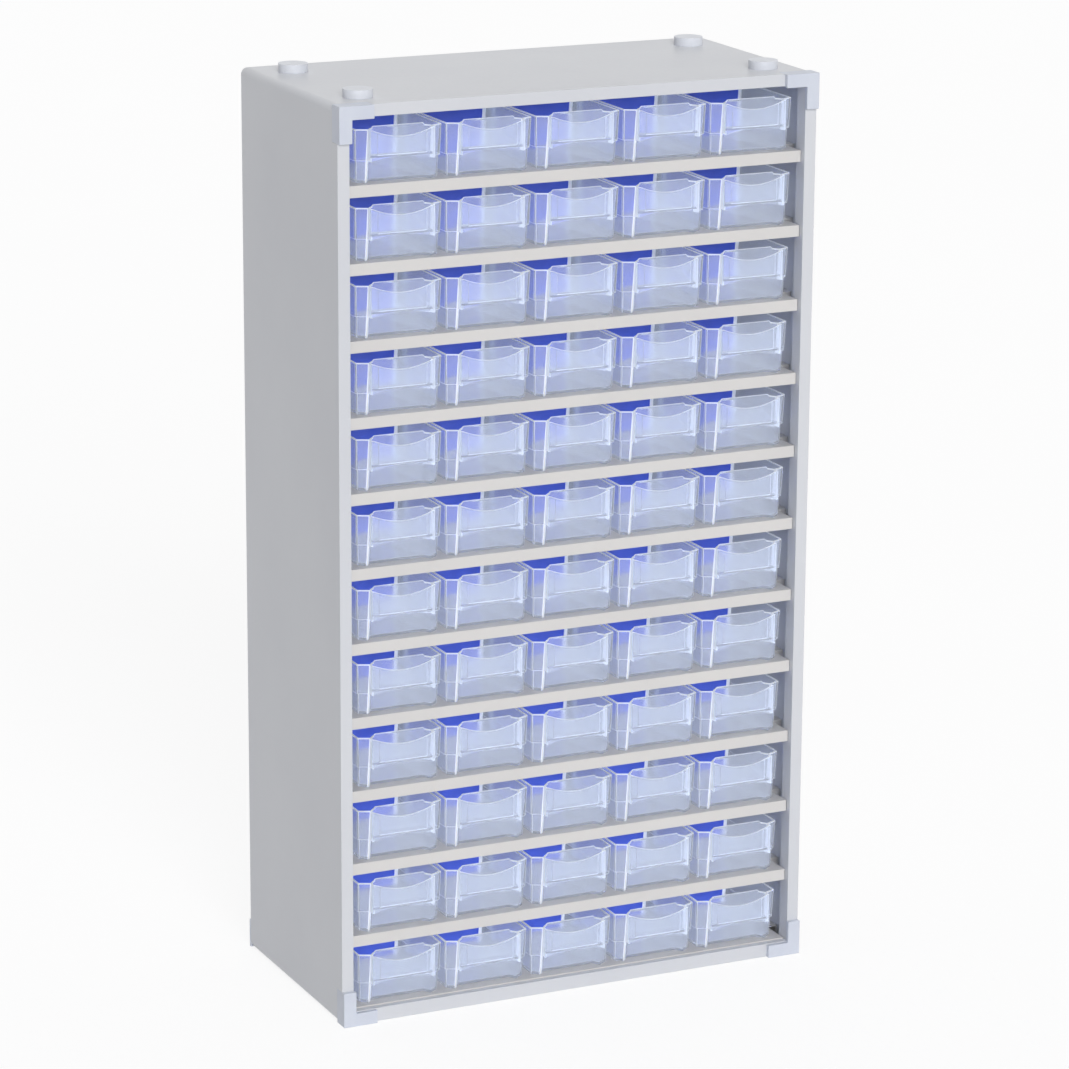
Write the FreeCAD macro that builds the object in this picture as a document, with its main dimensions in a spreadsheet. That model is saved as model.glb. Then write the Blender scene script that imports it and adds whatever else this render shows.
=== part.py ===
"""Small parts drawer cabinet: a housing of folded sheet steel with sixty clear drawers.

Millimetres. +Z is up, the drawers open towards -Y, and the origin is on the floor under the cabinet's middle.
"""
import FreeCAD, Part

import math
import os
from types import SimpleNamespace

import Sketcher

ROWS = 12
COLUMNS = 5
# The five drawers of each of these lowest rows are kept together as one set.
SHARED_ROWS = (11, 12)

SIZES = (
    # Housing
    ("housing_width", 306, "outside, left to right"),
    ("housing_height", 551, "outside, floor to top sheet"),
    ("housing_depth", 147, "front frame's face to rear edge"),
    ("sheet", 0.8, "steel thickness"),
    ("edge_bend", 4, "outer radius of the four long edges"),
    ("stile_width", 7.4, "front frame, left and right"),
    ("top_rail", 7.2, "front frame, top"),
    ("bottom_rail", 8.4, "front frame, bottom"),
    ("return_depth", 10.5, "flange that runs back from the frame's opening"),
    ("rear_flange", 9, "flange that runs in from the rear edges"),
    # Back panel
    ("wall_hole", 6, "diameter of the wall-fixing holes"),
    ("wall_hole_span", 250, "between the two wall-fixing holes"),
    ("wall_hole_drop", 50, "wall-fixing holes under the top"),
    # Shelves
    ("shelf_lip", 7, "height of a shelf's folded edges"),
    ("shelf_recess", 4, "shelf's front lip behind the frame's face"),
    ("shelf_notch", 25, "narrow front part of a shelf, behind the frame's face"),
    ("shelf_gap", 0.3, "shelf beside the frame's return flange"),
    ("top_row_clear", 39.6, "clear height over the top shelf"),
    # Corner caps and stacking studs
    ("cap_leg", 21.5, "length of a front cap's legs"),
    ("cap_width", 8, "width of a front cap's legs"),
    ("cap_proud", 3, "front cap ahead of the frame"),
    ("cap_wrap", 8, "front cap's skirt, along the housing"),
    ("rear_cap_leg", 18, "length of a rear cap's legs"),
    ("rear_cap_width", 8, "width of a rear cap's legs"),
    ("rear_cap_proud", 2, "rear cap behind the rear edge"),
    ("stud_diameter", 17.5, "stacking stud"),
    ("stud_height", 5, "stacking stud above the top sheet"),
    ("stud_peg", 5, "side of the square peg under a stud"),
    ("stud_peg_length", 4, "peg, through the top sheet"),
    ("stud_peg_fit", 0.15, "sheet round a peg, on each side"),
    ("stud_inset_x", 23, "stud's centre from the sides"),
    ("stud_inset_y", 25, "stud's centre from the front and rear"),
    ("stack_fit", 0.5, "radial, stacking hole round a stud"),
    # Drawer bays
    ("side_margin", 4.6, "free space beside the outer columns"),
    ("drawer_gap", 2.4, "between two drawers of a row"),
    ("drawer_headroom", 5.2, "label panel under the lip above"),
    ("drawer_rest", 0.3, "drawer's running clearance over its shelf"),
    ("drawer_setback", 7, "drawer's front corners behind the frame's face"),
    ("drawer_behind", 3.5, "drawer's back ahead of the back panel"),
    # Drawer tray
    ("tray_wall", 1.2, "walls and floor"),
    ("panel_rise", 1.1, "label panel above the rim"),
    ("ledge_height", 13, "height of the step in the walls"),
    ("ledge_step", 1, "walls under the step are this much further in"),
    ("side_draft", 1.2, "degrees, sides and back"),
    ("wing_draft", 4, "degrees, wings of the front"),
    ("wing_sweep", 25, "degrees, wings swept forward to the label panel"),
    ("panel_half", 16.4, "half the label panel's width"),
    ("panel_inset", 3.6, "label panel behind the wings' inner ends, at the rim"),
    ("panel_lean", 6, "degrees, label panel leans forward"),
    ("recess_flare", 50, "degrees, sides of the label panel's recess open forward"),
    ("window_ahead", 3.6, "label window's face ahead of the wings' inner ends"),
    ("window_half", 20, "half the label window's width"),
    ("cheek", 1, "end walls of the label pocket"),
    ("pocket_floor", 16.5, "height of the label pocket's floor"),
    ("window_dip", 4.3, "hollow in the window's top edge"),
    ("dip_run", 11, "length of the hollow's sloped ends"),
    ("window_wall", 1, "window and pocket floor"),
    ("grip_run", 12, "length of the window's sloped lower ends"),
    # Divider
    ("divider_place", 61, "divider's face behind the drawer's front corners"),
    ("divider_wall", 1, "divider thickness"),
    ("divider_fit", 0.2, "clearance beside the divider"),
    ("divider_below_rim", 2, "divider's top under the rim"),
)

doc = FreeCAD.newDocument("drawer_cabinet")
sheet = doc.addObject("Spreadsheet::Sheet", "Sizes")
for line, (alias, amount, meaning) in enumerate(SIZES, 1):
    sheet.set(f"A{line}", alias)
    sheet.set(f"B{line}", str(amount))
    sheet.set(f"C{line}", meaning)
    sheet.setAlias(f"B{line}", alias)
doc.recompute()


class Size:
    """A number together with the expression that ties it to the sheet."""

    def __init__(self, value, text):
        self.value = value
        self.text = text

    def __add__(self, other):
        other = as_size(other)
        return Size(self.value + other.value, f"({self.text} + {other.text})")

    def __sub__(self, other):
        other = as_size(other)
        return Size(self.value - other.value, f"({self.text} - {other.text})")

    def __mul__(self, other):
        other = as_size(other)
        return Size(self.value * other.value, f"({self.text} * {other.text})")

    def __truediv__(self, other):
        other = as_size(other)
        return Size(self.value / other.value, f"({self.text} / {other.text})")

    def __neg__(self):
        return Size(-self.value, f"(-{self.text})")


def as_size(thing):
    return thing if isinstance(thing, Size) else Size(thing, str(thing))


def tangent(angle):
    return Size(math.tan(math.radians(angle.value)), f"tan({angle.text})")


def cosine(angle):
    return Size(math.cos(math.radians(angle.value)), f"cos({angle.text})")


dim = SimpleNamespace(**{alias: Size(getattr(sheet, alias), f"Sizes.{alias}") for alias, _, _ in SIZES})

# Places that several pieces share
front = (dim.cap_proud - dim.rear_cap_proud - dim.housing_depth) / 2
rear = front + dim.housing_depth
panel_back = rear - dim.sheet
panel_front = panel_back - dim.sheet
outside_half = dim.housing_width / 2
inside_half = outside_half - dim.sheet
opening_half = outside_half - dim.stile_width
opening_top = dim.housing_height - dim.top_rail
floor_level = dim.bottom_rail + dim.sheet
shelf_front = front + dim.shelf_recess
row_pitch = (opening_top - floor_level - dim.top_row_clear) / (ROWS - 1)
column_pitch = (opening_half - dim.side_margin) * 2 / COLUMNS
stud_x = outside_half - dim.stud_inset_x
stud_places = [(x, y) for x in (-stud_x, stud_x) for y in (front + dim.stud_inset_y, rear - dim.stud_inset_y)]


# Sketches


def origin_plane(body, role):
    return next(feature for feature in body.Origin.OriginFeatures if feature.Role == role)


def new_body(name):
    body = doc.addObject("PartDesign::Body", name)
    body.Label = name
    return body


def new_sketch(body, name, plane, move, turn=None):
    """A sketch on a plane of the body, moved along the plane's axes and perhaps turned about one."""
    sketch = body.newObject("Sketcher::SketchObject", name)
    sketch.AttachmentSupport = (origin_plane(body, plane), [""])
    sketch.MapMode = "FlatFace"
    if turn:
        axis, angle = turn
        rotation = FreeCAD.Rotation(FreeCAD.Vector(*axis), angle.value)
        sketch.AttachmentOffset = FreeCAD.Placement(FreeCAD.Vector(), rotation)
        sketch.setExpression("AttachmentOffset.Rotation.Angle", angle.text)
    for axis, part in zip("xyz", move):
        sketch.setExpression(f"AttachmentOffset.Base.{axis}", as_size(part).text)
    return sketch


def upright_sketch(body, name, y, lean=None):
    """A sketch across the cabinet at a depth: X to the right, Z up, perhaps leaning forward."""
    return new_sketch(body, name, "XZ_Plane", (0, 0, -as_size(y)), lean and ((1, 0, 0), lean))


def flat_sketch(body, name, z):
    """A sketch in plan at a height: X to the right, Y to the rear."""
    return new_sketch(body, name, "XY_Plane", (0, 0, z))


def side_sketch(body, name, x):
    """A sketch seen from the right: Y to the rear, Z up."""
    return new_sketch(body, name, "YZ_Plane", (0, 0, x))


def point(place):
    return FreeCAD.Vector(*(as_size(part).value for part in place), 0)


def hold(sketch, kind, *where, at):
    """A driving dimension tied to the sheet."""
    index = sketch.addConstraint(Sketcher.Constraint(kind, *where, at.value))
    sketch.setExpression(f"Constraints[{index}]", at.text)


def hold_point(sketch, edge, end, place):
    for kind, part in zip(("DistanceX", "DistanceY"), place):
        hold(sketch, kind, -1, 1, edge, end, at=as_size(part))


def join_ends(sketch, edges):
    for edge, following in zip(edges, edges[1:] + edges[:1]):
        sketch.addConstraint(Sketcher.Constraint("Coincident", edge, 2, following, 1))


def draw_outline(sketch, places):
    """A closed run of straight edges through the places."""
    edges = []
    for start, end in zip(places, places[1:] + places[:1]):
        edges.append(sketch.addGeometry(Part.LineSegment(point(start), point(end)), False))
    join_ends(sketch, edges)
    for edge, place in zip(edges, places):
        hold_point(sketch, edge, 1, place)


def draw_circle(sketch, place, radius):
    circle = Part.Circle(point(place), FreeCAD.Vector(0, 0, 1), radius.value)
    edge = sketch.addGeometry(circle, False)
    hold_point(sketch, edge, 3, place)
    hold(sketch, "Radius", edge, at=radius)


def draw_rounded(sketch, half, low, high, radius):
    """An upright rectangle, centred across, with round corners."""
    left = -half + radius
    right = half - radius
    foot = low + radius
    head = high - radius
    sides = (
        ((left, low), (right, low), (right, foot)),
        ((half, foot), (half, head), (right, head)),
        ((right, high), (left, high), (left, head)),
        ((-half, head), (-half, foot), (left, foot)),
    )
    edges = []
    for quarter, (start, end, centre) in enumerate(sides, -1):
        edges.append(sketch.addGeometry(Part.LineSegment(point(start), point(end)), False))
        circle = Part.Circle(point(centre), FreeCAD.Vector(0, 0, 1), radius.value)
        corner = Part.ArcOfCircle(circle, quarter * math.pi / 2, (quarter + 1) * math.pi / 2)
        edges.append(sketch.addGeometry(corner, False))
    join_ends(sketch, edges)
    for line, arc, (start, end, _) in zip(edges[::2], edges[1::2], sides):
        hold_point(sketch, line, 1, start)
        hold_point(sketch, line, 2, end)
        hold(sketch, "Radius", arc, at=radius)


def rectangle(half, low, high):
    return [(-half, low), (half, low), (half, high), (-half, high)]


def square(centre, half):
    x, y = centre
    return [(x - half, y - half), (x + half, y - half), (x + half, y + half), (x - half, y + half)]


def both_sides(places):
    """Half an outline, from front to back on the right, and its mirror image."""
    return places + [(-as_size(x), y) for x, y in reversed(places)]


# Features


def extrude(kind, body, name, sketch, length, backwards):
    feature = body.newObject(f"PartDesign::{kind}", name)
    feature.Profile = sketch
    feature.setExpression("Length", length.text)
    feature.Reversed = backwards
    feature.Refine = True
    return feature


def pad(body, name, sketch, length, backwards=False):
    return extrude("Pad", body, name, sketch, length, backwards)


def pocket(body, name, sketch, length, backwards=False):
    """A pocket, which has to take something away."""
    doc.recompute()
    before = body.Shape.Volume
    feature = extrude("Pocket", body, name, sketch, length, backwards)
    doc.recompute()
    if body.Shape.Volume >= before:
        raise RuntimeError(f"{name} takes nothing away")
    return feature


def mirror_across(body, name, features):
    """Repeats features on the other side of the body's middle."""
    mirror = body.newObject("PartDesign::Mirrored", name)
    mirror.Originals = features
    mirror.MirrorPlane = (origin_plane(body, "YZ_Plane"), [""])
    mirror.Refine = True
    body.Tip = mirror
    return mirror


def group(name, members, place=None):
    """Pieces under one name, moved to a place."""
    compound = doc.addObject("Part::Compound", name)
    compound.Label = name
    compound.Links = members
    for axis, part in zip("xyz", place or ()):
        compound.setExpression(f"Placement.Base.{axis}", as_size(part).text)
    return compound


def mirror_image(name, source, axis, at=0):
    """A copy of a piece on the far side of a plane across an axis."""
    image = doc.addObject("Part::Mirroring", name)
    image.Source = source
    image.Normal = FreeCAD.Vector(*(float(axis == other) for other in "xyz"))
    image.setExpression(f"Base.{axis}", as_size(at).text)
    return image


# Housing shell: a wrap of sheet with a front frame, its return flange and a rear flange


def draw_wrap(sketch, inset):
    """The wrap's outline, this far inside its outer faces."""
    high = dim.housing_height - inset
    draw_rounded(sketch, outside_half - inset, as_size(inset), high, dim.edge_bend - inset)


def draw_opening(sketch, margin):
    """The frame's opening, made larger all round by a margin."""
    draw_outline(sketch, rectangle(opening_half + margin, dim.bottom_rail - margin, opening_top + margin))


def corner_plate(leg, width):
    """An L along the housing's lower left corner."""
    left = -outside_half
    return [
        (left, 0), (left + leg, 0), (left + leg, width),
        (left + width, width), (left + width, leg), (left, leg),
    ]


def corner_skirt():
    """A thin L in place of the sheet round the lower left edge, filled out across the sheet's bend."""
    left = -outside_half
    gauge = dim.sheet
    return [
        (left, 0), (left + dim.cap_leg, 0), (left + dim.cap_leg, gauge), (left + dim.edge_bend, gauge),
        (left + gauge, dim.edge_bend), (left + gauge, dim.cap_leg), (left, dim.cap_leg),
    ]


def at_top(places):
    """The same outline upside down, at the housing's upper edge."""
    return [(x, dim.housing_height - y) for x, y in places]


def build_housing_shell():
    body = new_body("housing_shell")

    outside = upright_sketch(body, "wrap_outside", rear)
    draw_wrap(outside, 0)
    pad(body, "wrap_block", outside, dim.housing_depth)
    inside = upright_sketch(body, "wrap_inside", rear)
    draw_wrap(inside, dim.sheet)
    pocket(body, "wrap_hollow", inside, dim.housing_depth - dim.sheet, backwards=True)

    opening = upright_sketch(body, "frame_opening", front)
    draw_opening(opening, 0)
    pocket(body, "frame_cut", opening, dim.sheet)
    returns = upright_sketch(body, "return_outline", front)
    draw_opening(returns, 0)
    draw_opening(returns, dim.sheet)
    pad(body, "return_flange", returns, dim.return_depth, backwards=True)

    flange = upright_sketch(body, "rear_outline", rear)
    draw_wrap(flange, dim.sheet)
    rear_high = dim.housing_height - dim.rear_flange
    draw_outline(flange, rectangle(outside_half - dim.rear_flange, dim.rear_flange, rear_high))
    pad(body, "rear_flange", flange, dim.sheet)

    for level, outline in (("low", corner_skirt()), ("high", at_top(corner_skirt()))):
        seat = upright_sketch(body, f"{level}_cap_seat", front)
        draw_outline(seat, outline)
        notch = pocket(body, f"{level}_cap_notch", seat, dim.cap_wrap)
        mirror_across(body, f"{level}_cap_notches", [notch])

    stacking = flat_sketch(body, "stacking_hole_places", 0)
    pegs = flat_sketch(body, "peg_hole_places", dim.housing_height - dim.sheet)
    for place in stud_places:
        draw_circle(stacking, place, dim.stud_diameter / 2 + dim.stack_fit)
        draw_outline(pegs, square(place, dim.stud_peg / 2 + dim.stud_peg_fit))
    pocket(body, "stacking_holes", stacking, dim.sheet, backwards=True)
    pocket(body, "peg_holes", pegs, dim.sheet, backwards=True)
    return body


def build_back_panel():
    """A flat sheet against the rear flange, with two wall-fixing holes."""
    body = new_body("back_panel")
    outline = upright_sketch(body, "panel_outline", panel_back)
    low = dim.sheet
    high = dim.housing_height - dim.sheet
    corner = inside_half - dim.edge_bend
    draw_outline(outline, both_sides([
        (corner, low), (inside_half, low + dim.edge_bend),
        (inside_half, high - dim.edge_bend), (corner, high),
    ]))
    pad(body, "panel_sheet", outline, dim.sheet)
    centres = upright_sketch(body, "wall_hole_places", panel_back)
    for x in (-dim.wall_hole_span / 2, dim.wall_hole_span / 2):
        draw_circle(centres, (x, dim.housing_height - dim.wall_hole_drop), dim.wall_hole / 2)
    pocket(body, "wall_holes", centres, dim.sheet, backwards=True)
    return body


# Shelves: shallow pans of sheet between the housing's sides


def shelf_plan(inset):
    """Narrow between the frame's return flanges, then as wide as the housing's inside."""
    narrow = opening_half - dim.shelf_gap - inset
    wide = inside_half - inset
    shoulder = front + dim.shelf_notch + inset
    return both_sides([
        (narrow, shelf_front + inset), (narrow, shoulder), (wide, shoulder), (wide, panel_front - inset),
    ])


def build_shelves():
    """Eleven pans, their edges folded down all round."""
    body = new_body("shelf")
    plan = flat_sketch(body, "shelf_plan", -dim.shelf_lip)
    draw_outline(plan, shelf_plan(0))
    pad(body, "shelf_pan", plan, dim.shelf_lip)
    under = flat_sketch(body, "shelf_underside", -dim.shelf_lip)
    draw_outline(under, shelf_plan(dim.sheet))
    pocket(body, "shelf_hollow", under, dim.shelf_lip - dim.sheet, backwards=True)
    levels = range(1, ROWS)
    return group("shelves", [
        group(f"shelf_{level}", [body], (0, 0, floor_level + row_pitch * level)) for level in levels
    ])


def build_floor_shelf():
    """The lowest shelf lies on the frame's return flange; its sides and rear are folded down."""
    body = new_body("floor_shelf")
    plan = flat_sketch(body, "floor_plan", dim.edge_bend)
    draw_outline(plan, shelf_plan(0))
    pad(body, "floor_pan", plan, floor_level - dim.edge_bend)
    under = flat_sketch(body, "floor_underside", dim.edge_bend)
    shoulder = front + dim.shelf_notch
    wide = inside_half - dim.sheet
    draw_outline(under, both_sides([
        (outside_half, front), (outside_half, shoulder), (wide, shoulder), (wide, panel_front - dim.sheet),
    ]))
    pocket(body, "floor_hollow", under, dim.bottom_rail - dim.edge_bend, backwards=True)
    return body


# Corner caps and stacking studs


def build_front_caps():
    """Four L-shaped caps ahead of the frame, each with a skirt in the housing's notch."""
    body = new_body("front_cap")
    face = upright_sketch(body, "cap_face", front)
    draw_outline(face, corner_plate(dim.cap_leg, dim.cap_width))
    pad(body, "cap_plate", face, dim.cap_proud)
    skirt = upright_sketch(body, "cap_skirt", front)
    draw_outline(skirt, corner_skirt())
    pad(body, "cap_wrap", skirt, dim.cap_wrap, backwards=True)
    right = mirror_image("front_cap_right", body, "x")
    middle = dim.housing_height / 2
    top = [mirror_image(f"{cap.Name}_top", cap, "z", middle) for cap in (body, right)]
    return group("front_corner_caps", [body, right] + top)


def build_rear_caps():
    """Two plain caps on the lower corners of the rear flange."""
    body = new_body("rear_cap")
    face = upright_sketch(body, "rear_cap_face", rear)
    draw_outline(face, corner_plate(dim.rear_cap_leg, dim.rear_cap_width))
    pad(body, "rear_cap_plate", face, dim.rear_cap_proud, backwards=True)
    return group("rear_corner_caps", [body, mirror_image("rear_cap_right", body, "x")])


def build_stacking_studs():
    """Round buttons on the top sheet, each with a square peg through it."""
    body = new_body("stud")
    button = flat_sketch(body, "stud_outline", 0)
    draw_circle(button, (0, 0), dim.stud_diameter / 2)
    pad(body, "stud_button", button, dim.stud_height)
    peg = flat_sketch(body, "stud_peg_outline", 0)
    draw_outline(peg, square((as_size(0), as_size(0)), dim.stud_peg / 2))
    pad(body, "stud_peg", peg, dim.stud_peg_length, backwards=True)
    studs = []
    for index, (x, y) in enumerate(stud_places, 1):
        studs.append(group(f"stud_{index}", [body], (x, y, dim.housing_height)))
    return group("stacking_studs", studs)


# Drawer: a moulded tray with stepped walls, swept wings, a leaning label panel in a flared recess and an
# upright label window ahead of it, and its divider.
# A drawer's own zero is on its underside, in the middle, level with the front corners of its rim.

panel_top = row_pitch - dim.shelf_lip - dim.drawer_headroom - dim.drawer_rest
rim = panel_top - dim.panel_rise
rim_half = (column_pitch - dim.drawer_gap) / 2
tray_length = panel_front - dim.drawer_behind - front - dim.drawer_setback
flare = tangent(dim.recess_flare)
wing_end = dim.panel_half + dim.panel_inset / flare
wing_reach = (rim_half - wing_end) * tangent(dim.wing_sweep)
panel_slope = tangent(dim.panel_lean)
panel_foot = rim * panel_slope - wing_reach + dim.panel_inset
window_front = -wing_reach - dim.window_ahead
cheek_inside = dim.window_half - dim.cheek


def tray_side(level, step=0):
    """Half the tray's outside width at a height."""
    return rim_half - (rim - level) * tangent(dim.side_draft) - step


def tray_inside(level):
    """Half the tray's inside width at a height; the inside has no step."""
    low = tray_side(dim.tray_wall, dim.ledge_step) - dim.tray_wall
    high = rim_half - dim.tray_wall
    return low + (high - low) * (level - dim.tray_wall) / (rim - dim.tray_wall)


def panel_depth(level, inset=0):
    """Where the label panel stands at a height, or a face this far behind it."""
    return panel_foot - panel_slope * level + inset


def recess_half(inset):
    """Half the width of the recess along the label panel, or along a face this far behind it."""
    return dim.panel_half + tangent(dim.recess_flare / 2) * inset


def build_tray_form(body, section, wing, inset):
    """A drawer-shaped block: a section across, a drafted back, two swept wings and the label panel's recess.

    The wing's profile and the section list places from the bottom up; an inset makes the mould's core.
    """
    low = section[0][1]
    high = section[-1][1]
    across = upright_sketch(body, f"{body.Name}_section", -wing_reach)
    draw_outline(across, both_sides(section))
    pad(body, f"{body.Name}_block", across, wing_reach + tray_length, backwards=True)

    back = side_sketch(body, f"{body.Name}_back_outline", -rim_half)
    slope = tangent(dim.side_draft)
    beyond = tray_length + dim.drawer_behind
    backs = [(tray_length - inset - (rim - level) * slope, level) for level in (low, high)]
    draw_outline(back, backs + [(beyond, high), (beyond, low)])
    pocket(body, f"{body.Name}_back", back, rim_half * 2, backwards=True)

    # The wing's profile is swept along the wing, from its inner end.
    move = (-wing_reach, 0, wing_end)
    sweep = ((0, 1, 0), dim.wing_sweep)
    wing_outline = new_sketch(body, f"{body.Name}_wing_outline", "YZ_Plane", move, sweep)
    draw_outline(wing_outline, [(-wing_reach, low)] + wing + [(-wing_reach, high)])
    cut = pocket(body, f"{body.Name}_wing", wing_outline, rim_half, backwards=True)
    mirror_across(body, f"{body.Name}_wings", [cut])

    # The recess is cut upwards along the leaning panel, from under the tray.
    start = -dim.tray_wall
    lean = ((1, 0, 0), dim.panel_lean)
    move = (0, panel_depth(start, inset), start)
    recess = new_sketch(body, f"{body.Name}_recess_outline", "XY_Plane", move, lean)
    half = recess_half(inset)
    reach = dim.panel_inset * 3
    mouth = (half + reach / flare, -reach * cosine(dim.panel_lean))
    draw_outline(recess, both_sides([mouth, (half, 0)]))
    pocket(body, f"{body.Name}_recess", recess, rim * 2, backwards=True)


def build_tray_walls(body):
    """The outside has a step in its sides and wings; the core that hollows it tapers evenly."""
    ledge = dim.ledge_height
    slope = tangent(dim.wing_draft)
    step = dim.ledge_step
    floor = dim.tray_wall
    mouth = rim + dim.tray_wall
    zero = as_size(0)

    section = [
        (tray_side(zero, step), zero), (tray_side(ledge, step), ledge),
        (tray_side(ledge), ledge), (rim_half, rim),
    ]
    wing = [
        (rim * slope + step, zero), ((rim - ledge) * slope + step, ledge),
        ((rim - ledge) * slope, ledge), (0, rim),
    ]
    build_tray_form(body, section, wing, zero)

    core = new_body("tray_core")
    core_slope = slope + step / (rim - floor)
    core_section = [(tray_inside(level), level) for level in (floor, mouth)]
    core_wing = [((rim - level) * core_slope + dim.tray_wall, level) for level in (floor, mouth)]
    build_tray_form(core, core_section, core_wing, dim.tray_wall)

    hollow = body.newObject("PartDesign::Boolean", "tray_hollow")
    hollow.Type = "Cut"
    hollow.setObjects([core])


def build_label_pocket(body):
    """The label panel's raised top, two cheeks, an upright window with a hollow top edge, and a floor."""
    along = cosine(dim.panel_lean)
    bite = dim.tray_wall / 6
    half = recess_half(bite)

    raised = upright_sketch(body, "raised_panel_outline", panel_foot, dim.panel_lean)
    draw_outline(raised, rectangle(half, (rim - dim.tray_wall) / along, panel_top / along))
    pad(body, "raised_panel", raised, dim.tray_wall * along, backwards=True)

    # A cheek runs from the window a little way into the recess's flared side.
    cheek = side_sketch(body, "cheek_outline", cheek_inside)
    inset = bite - (cheek_inside - half) * flare
    draw_outline(cheek, [
        (window_front, dim.ledge_height), (window_front, rim),
        (panel_depth(rim, inset), rim), (panel_depth(dim.ledge_height, inset), dim.ledge_height),
    ])
    mirror_across(body, "cheeks", [pad(body, "cheek", cheek, dim.cheek)])

    sill = dim.pocket_floor - dim.window_wall
    window = upright_sketch(body, "window_outline", window_front)
    draw_outline(window, both_sides([
        (dim.window_half - dim.grip_run, sill), (dim.window_half, dim.ledge_height), (dim.window_half, rim),
        (cheek_inside, rim), (cheek_inside - dim.dip_run, rim - dim.window_dip),
    ]))
    pad(body, "window", window, dim.window_wall, backwards=True)

    floor = flat_sketch(body, "pocket_floor_outline", sill)
    side = cheek_inside + dim.cheek / 2
    depth = panel_depth(sill, bite)
    draw_outline(floor, both_sides([
        (side, window_front + dim.window_wall / 2), (side, depth - (side - half) * flare), (half, depth),
    ]))
    pad(body, "pocket_floor", floor, dim.window_wall)


def build_tray():
    body = new_body("tray")
    build_tray_walls(body)
    build_label_pocket(body)
    return body


def build_divider():
    """A plate across the tray, which stands on its floor."""
    body = new_body("divider")
    outline = upright_sketch(body, "divider_outline", dim.divider_place)
    levels = (dim.tray_wall, rim - dim.divider_below_rim)
    draw_outline(outline, both_sides([(tray_inside(level) - dim.divider_fit, level) for level in levels]))
    pad(body, "divider_plate", outline, dim.divider_wall, backwards=True)
    return body


def build_drawers():
    """Sixty drawers, counted from the top row down and from the left."""
    pieces = [build_tray(), build_divider()]
    nodes = []
    for row in range(1, ROWS + 1):
        shelf_level = floor_level + row_pitch * (ROWS - row)
        drawers = []
        for column in range(1, COLUMNS + 1):
            x = column_pitch * (column - (COLUMNS + 1) / 2)
            place = (x, front + dim.drawer_setback, shelf_level + dim.drawer_rest)
            drawers.append(group(f"drawer_r{row:02d}_c{column}", pieces, place))
        if row in SHARED_ROWS:
            drawers = [group(f"drawer_row_{row}", drawers)]
        nodes += drawers
    return nodes


def write_parts(nodes):
    """Writes each node's shape, once every object is sound."""
    doc.recompute()
    for thing in doc.Objects:
        if "Invalid" in thing.State or "Error" in thing.State:
            raise RuntimeError(f"{thing.Name} failed: {thing.State}")
    for node in nodes:
        if node.Shape.isNull() or not node.Shape.isValid():
            raise RuntimeError(f"{node.Label} has no valid shape")
    os.makedirs("parts", exist_ok=True)
    for node in nodes:
        node.Shape.exportStep(f"parts/{node.Label}.step")


write_parts([
    build_housing_shell(),
    build_back_panel(),
    build_floor_shelf(),
    build_shelves(),
    build_front_caps(),
    build_rear_caps(),
    build_stacking_studs(),
] + build_drawers())
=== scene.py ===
import math

import bmesh
import bpy
from mathutils import Matrix, Vector


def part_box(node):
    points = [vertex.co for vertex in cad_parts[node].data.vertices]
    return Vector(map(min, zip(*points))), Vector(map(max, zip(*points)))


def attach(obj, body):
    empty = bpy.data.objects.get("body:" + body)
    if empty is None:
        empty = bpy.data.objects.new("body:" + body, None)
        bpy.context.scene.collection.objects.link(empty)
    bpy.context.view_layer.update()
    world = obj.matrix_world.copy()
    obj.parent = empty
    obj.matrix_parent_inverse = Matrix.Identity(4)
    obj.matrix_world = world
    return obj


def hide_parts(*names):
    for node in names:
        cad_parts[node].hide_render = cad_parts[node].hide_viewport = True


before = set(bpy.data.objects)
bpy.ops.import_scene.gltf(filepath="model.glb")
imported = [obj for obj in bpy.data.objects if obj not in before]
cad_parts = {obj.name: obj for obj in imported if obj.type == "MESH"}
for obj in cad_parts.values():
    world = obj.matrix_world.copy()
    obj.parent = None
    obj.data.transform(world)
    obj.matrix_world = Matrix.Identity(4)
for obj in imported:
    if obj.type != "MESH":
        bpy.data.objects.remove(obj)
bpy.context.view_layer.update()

# Small parts drawer cabinet: painted sheet steel, sixty clear drawers and their blue dividers.
# +Z is up and the drawers open towards -Y. Drawer sizes are in millimetres, the scene is in metres.

MM = 0.001
ROWS = 12
COLUMNS = 5
SHARED_ROWS = (11, 12)

# The tray's two finishes: its faces, and its edges, which look brighter through a painted highlight, a whiter
# finish with a painted glow
FACE = 0
EDGE_HIGHLIGHT = 1

# Tray: sizes, drafts and slopes
RIM = 31.4
PANEL_TOP = 32.5
RIM_HALF = 27.0
TRAY_LENGTH = 134.9
WALL = 1.2
SIDE_DRAFT = math.tan(math.radians(1.2))
WING_DRAFT = math.tan(math.radians(4))
WING_SWEEP = math.radians(25)
PANEL_HALF = 16.4
PANEL_INSET = 3.6
PANEL_SLOPE = math.tan(math.radians(6))
FLARE_ANGLE = math.radians(50)
FLARE = math.tan(FLARE_ANGLE)
FLARE_HALF = math.tan(FLARE_ANGLE / 2)

# Tray: round edges, the band below the rim that gets the painted highlight, and the angle from which a fold
# looks sharp
FLOOR_ROUND = 1.5
RIM_ROUND = 0.45
RIM_HIGHLIGHT_BAND = 0.7
QUARTER_TURN = [math.radians(angle) for angle in (0, 30, 60, 90)]
FOLD_ANGLE = math.radians(32)

# Tray: the ledge, by heights from its middle, the share of its step left there, and the finish up to there;
# the band just above the ledge gets the painted highlight
LEDGE = 13.0
LEDGE_STEP = 1.0
LEDGE_TURN = ((-0.4, 1.0, FACE), (-0.08, 0.85, FACE), (0.0, 0.5, FACE), (0.08, 0.15, FACE), (0.4, 0.0, EDGE_HIGHLIGHT))

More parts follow.
